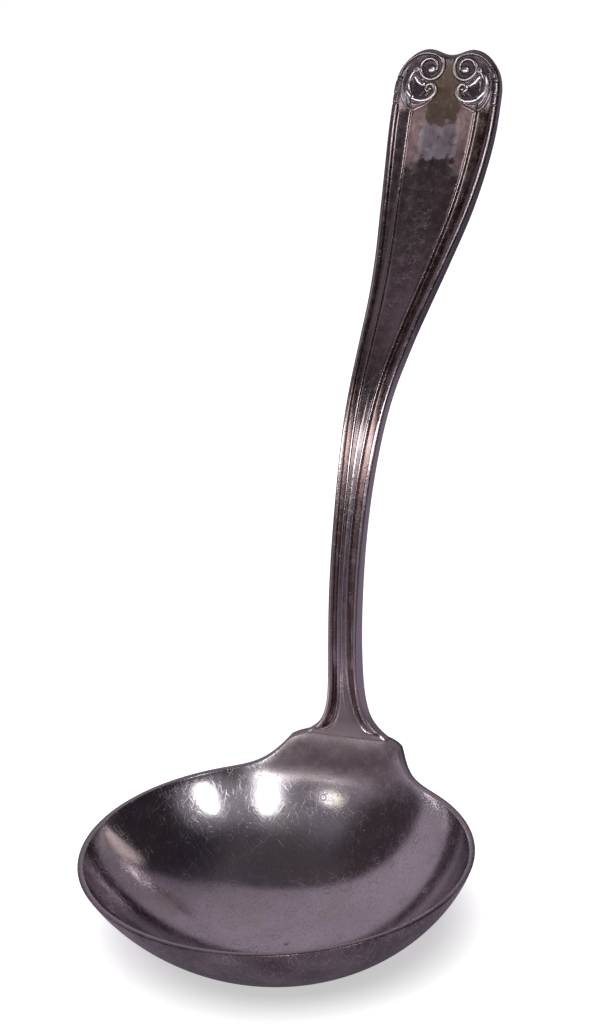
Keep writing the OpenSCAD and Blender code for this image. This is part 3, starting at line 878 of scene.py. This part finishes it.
def tip_colour(n, marks, cloud, fine_cloud, colour):
    """An olive film between the scrolls, a polished patch below it, and reddish margins."""
    ragged = n.total(n.remap(cloud, 0.3, 0.7, -1.8, 1.8), n.remap(fine_cloud, 0.3, 0.7, -1.5, 1.5))
    along = n.total(marks["along"], ragged)
    aside = n.math("ABSOLUTE", n.total(marks["across"], n.both(ragged, 0.5)))
    olive = n.both(n.window(along, 168.5, 185.0, 0.5), n.remap(aside, 6.0, 5.0), marks["face"])
    colour = n.over(colour, (0.15, 0.105, 0.075), olive, 0.85)
    margin = n.both(n.window(along, 156, 173, 2.0), n.window(aside, 4.6, 8.8, 0.5), marks["face"])
    margin = n.both(margin, n.remap(cloud, 0.36, 0.5, 0.35, 1.0))
    colour = n.over(colour, (0.56, 0.385, 0.38), margin, 0.8)
    polished = n.both(n.window(along, 158.5, 168.5, 0.4), n.remap(aside, 5.5, 4.9), marks["face"])
    return n.over(colour, (0.46, 0.395, 0.445), polished, 0.9), n.either(olive, margin), polished


def handle_material(name, dark, light, crest_light):
    """Tarnished silver: brown-black in hollows and over the panel, worn bright along ridges and edges."""
    mat, n, place = start_material(name)
    marks = {key: n.mask(key) for key in ("along", "across", "cavity", "crest", "face", "ground")}
    along, across, cavity = marks["along"], marks["across"], marks["cavity"]
    sheet = n.put("CombineXYZ", {0: n.both(across, MM), 1: n.both(along, MM)}).outputs[0]
    cloud = n.noise(place, 75.0, 5.0, 0.65, 0.5)
    fine_cloud = n.noise(place, 420.0, 4.0, 0.7)
    flecks = n.noise(place, 1300.0, 3.0, 0.6)
    colour = tarnish_and_painted_light(n, marks, sheet, cloud, dark, light)
    colour, curls = panel_sheen_and_wear(n, marks, place, cloud, colour)
    colour, root = channel_colour(n, marks, fine_cloud, colour)
    colour, film, polished = tip_colour(n, marks, cloud, fine_cloud, colour)
    # pale flecks and hairlines
    pale = n.both(n.remap(flecks, 0.62, 0.72), n.remap(fine_cloud, 0.48, 0.62), n.remap(along, 12, 30))
    scratches = hairlines(n, sheet, 5, 23)
    pale = n.either(pale, n.both(scratches, n.remap(fine_cloud, 0.42, 0.6)))
    colour = n.over(colour, (0.62, 0.57, 0.60), pale, 0.4)
    # the left channel is greyer high up; dark ground round the scrolls; bare metal on the crests
    left = n.both(n.remap(across, -3.0, -5.0), n.remap(cavity, 0.3, 0.8), n.remap(along, 85, 110))
    colour = n.over(colour, (0.30, 0.24, 0.24), left, 0.75)
    colour = n.tint(marks["ground"], colour, (0.125, 0.098, 0.108))
    worn = n.both(n.remap(marks["crest"], 0.3, 0.8), n.remap(fine_cloud, 0.24, 0.4))
    colour = n.over(colour, crest_light, worn, 0.85)
    rough = n.less(n.remap(fine_cloud, 0.3, 0.7, 0.17, 0.33), n.both(worn, 0.08))
    rough = n.total(rough, n.both(root, 0.12), n.both(film, 0.12), n.both(polished, 0.08))
    pits = n.remap(n.noise(place, 900.0, 3.0, 0.65), 0.60, 0.72)
    height = n.less(n.both(flecks, 0.4), n.both(scratches, 0.6), n.either(pits, curls))
    finish_metal(n, colour, rough, height, 0.000012)
    return mat


def solder_material():
    """Dull grey solder."""
    mat, n, place = start_material("silver_solder")
    cloud = n.noise(place, 600.0, 4.0)
    colour = n.tint(n.remap(cloud, 0.35, 0.65), (0.36, 0.31, 0.31), (0.50, 0.45, 0.46))
    finish_metal(n, colour, n.remap(cloud, 0.3, 0.7, 0.25, 0.4), n.noise(place, 2400.0, 3.0), 0.00002)
    return mat


bowl_silver = bowl_material()
handle_silver = handle_material(
    "tarnished_silver", (0.15, 0.113, 0.116), (0.28, 0.225, 0.235), (0.72, 0.66, 0.68))
# painted shade: the scrolls get a darker copy of the handle's silver, with dimmer worn crests
scroll_silver_shaded = handle_material(
    "tarnished_silver_scrolls_shaded", (0.14, 0.112, 0.122), (0.26, 0.222, 0.24), (0.50, 0.46, 0.49))
solder_silver = solder_material()

bowl = build_bowl(bowl_silver)
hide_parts("bowl")
handle_pieces = [build_handle(handle_silver), build_solder(solder_silver)]
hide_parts("handle")
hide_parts("solder_seam")
for side, cad in ((1, "scroll_right"), (-1, "scroll_left")):
    scroll = build_scroll(side, scroll_silver_shaded)
    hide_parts(cad)
    handle_pieces.append(scroll)


# ---- stage: floor, soft light, camera ----
def disc(name, radius, z, colour, glow=0.5):
    """A round plain card that isn't part of the object; its faint glow keeps the shadow on it pale."""
    a = steps(0, 2 * math.pi, 128)
    verts = np.stack([radius * np.cos(a), radius * np.sin(a), z + 0 * a], -1)
    mesh = bpy.data.meshes.new(name)
    mesh.from_pydata(verts.tolist(), [], [list(range(len(a)))])
    mat = bpy.data.materials.new(name)
    nodes = Nodes(mat)
    paper = nodes.put("BsdfPrincipled", {
        "Base Color": (*colour, 1), "Roughness": 0.9, "Specular IOR Level": 0.1,
        "Emission Color": (*colour, 1), "Emission Strength": glow})
    nodes.put("OutputMaterial", {"Surface": paper.outputs[0]})
    mesh.materials.append(mat)
    obj = into_scene(name, mesh)
    return obj


floor = disc("floor", 0.9, -0.0002, (0.86, 0.86, 0.86), glow=0.6)
floor.visible_glossy = False
floor.visible_shadow = False
# what the metal sees of the floor is a darker card than what the camera sees
card = disc("floor_reflected", 6.0, -0.0001, (0.205, 0.177, 0.214))
card.visible_camera = False
card.visible_diffuse = False
card.visible_shadow = False


def direction(az, el):
    """Unit vector towards az degrees from -Y round to +X, and el degrees up."""
    a, e = math.radians(az), math.radians(el)
    return Vector((math.sin(a) * math.cos(e), -math.cos(a) * math.cos(e), math.sin(e)))


# what each light is aimed at: the middle of the bowl, and the handle's root, neck and tip
BOWL_SEES, ROOT_SEES = (0, 0.01, 0.02), (0, 0.045, 0.042)
NECK_SEES, TIP_SEES = (0, 0.075, 0.095), (0, 0.155, 0.16)
bowl_only = bpy.data.collections.new("lit_bowl")
bowl_only.objects.link(bowl)
handle_only = bpy.data.collections.new("lit_handle")
for piece in handle_pieces:
    handle_only.objects.link(piece)


def softbox(name, az, el, wide, high, radiance, dist=1.1, aim=BOWL_SEES, glossy=True, lit=None,
            tone=(1, 1, 1)):
    """A rounded light; wide and high are its angles in degrees, as seen from aim."""
    data = bpy.data.lights.new(name, "AREA")
    data.shape = "ELLIPSE"
    data.size = 2 * dist * math.tan(math.radians(wide / 2))
    data.size_y = 2 * dist * math.tan(math.radians(high / 2))
    data.energy = radiance * data.size * data.size_y * math.pi
    data.color = tone
    obj = into_scene(name, data)
    d = direction(az, el)
    obj.location = Vector(aim) + d * dist
    obj.rotation_euler = d.to_track_quat("Z", "Y").to_euler()
    obj.visible_camera = False
    obj.visible_glossy = glossy
    if lit:
        obj.light_linking.receiver_collection = lit


# each light: its azimuth and elevation, its width and height, and its radiance
softbox("soft_right", 43, 36, 9, 23, 5, lit=bowl_only)
softbox("soft_front", 6, 38, 8, 22, 5, lit=bowl_only)
softbox("soft_left", -27, 32, 10, 8, 1.5, lit=bowl_only)
softbox("soft_back_right", 130, 20, 10, 34, 0.6, lit=bowl_only, tone=(1, 0.86, 0.8))
softbox("soft_strip", -1, 54, 130, 12.5, 4.2, dist=0.25, aim=NECK_SEES, lit=handle_only)
softbox("soft_tip", 36, 58, 30, 15, 5, aim=TIP_SEES, lit=handle_only)
softbox("soft_root", -50, -8, 20, 14, 1.05, dist=0.05, aim=ROOT_SEES, lit=handle_only,
        tone=(1, 0.86, 0.7))
softbox("top_light", 29, 66, 46, 46, 5.2, dist=1.4, glossy=False)

world = bpy.data.worlds.new("studio")
bpy.context.scene.world = world
room = Nodes(world)
toward = room.put("TexCoord").outputs["Generated"]


def facing(az, el):
    """How nearly the looked-at direction is this one: 1 when it is, -1 when it is opposite."""
    aim = tuple(direction(az, el))
    return room.put("VectorMath", {0: toward, 1: aim}, operation="DOT_PRODUCT").outputs["Value"]


def lobe(az, el, outer, inner):
    """1 inside a cone of inner degrees round a direction, 0 outside outer degrees."""
    edge, core = math.cos(math.radians(outer)), math.cos(math.radians(inner))
    return room.remap(facing(az, el), edge, core, interpolation_type="SMOOTHSTEP")


# plain dark grey surroundings with softer zones that only the metal sees
sky = (0.080, 0.070, 0.083)
for zone, colour in (
        ((-20, 28, 36, 14), (0.20, 0.177, 0.20)), ((90, 35, 45, 26), (0.028, 0.022, 0.03)),
        ((-73, 30, 32, 20), (0.05, 0.038, 0.045)), ((-67, 67, 15, 9), (0.085, 0.072, 0.08)),
        # glow round the two big lights, and low down at the front left
        ((43, 37, 24, 7), (0.27, 0.26, 0.28)), ((8, 41, 21, 7), (0.26, 0.25, 0.27)),
        ((-28, 4, 30, 12), (0.28, 0.246, 0.28))):
    sky = room.tint(lobe(*zone), sky, colour)
# a pale wall from the left round to the back, leaning in at the top
wall_left = room.remap(facing(-170, -19.5), -0.208, -0.173)
wall_right = room.remap(facing(-135, 0), -0.04, 0.06)
wall = room.tint(room.remap(facing(-120, 10), 0.0, 0.8), (0.21, 0.178, 0.21), (0.37, 0.32, 0.375))
sky = room.tint(room.both(wall_left, wall_right), sky, wall)
# the camera itself sees plain pale paper past the floor's edge
seen = room.put("LightPath").outputs["Is Camera Ray"]
sky = room.tint(seen, sky, (1.0, 1.0, 1.0))
background = room.put("Background", {"Color": sky, "Strength": 1.0})
room.put("OutputWorld", {"Surface": background.outputs[0]})

# camera at the photograph's angle, in degrees: round to the right, up, and rolled; metres from its aim
AZIMUTH, ELEVATION, ROLL = 28.9, 27.7, 9.5
AIM, DIST = Vector((0.0228, 0.002, 0.1236)), 0.703
back = direction(AZIMUTH, ELEVATION)
right = direction(AZIMUTH + 90, 0)
up = back.cross(right)
roll = math.radians(ROLL)
cam_x = right * math.cos(roll) - up * math.sin(roll)
cam_y = right * math.sin(roll) + up * math.cos(roll)
camera = bpy.data.cameras.new("camera")
camera.lens = 110
camera.sensor_width = 36
camera.clip_start = 0.01
camera.clip_end = 50
cam = into_scene("camera", camera)
m = Matrix((cam_x, cam_y, back)).transposed().to_4x4()
m.translation = AIM + back * DIST
cam.matrix_world = m
bpy.context.scene.camera = cam
bpy.context.scene.view_settings.view_transform = "Standard"
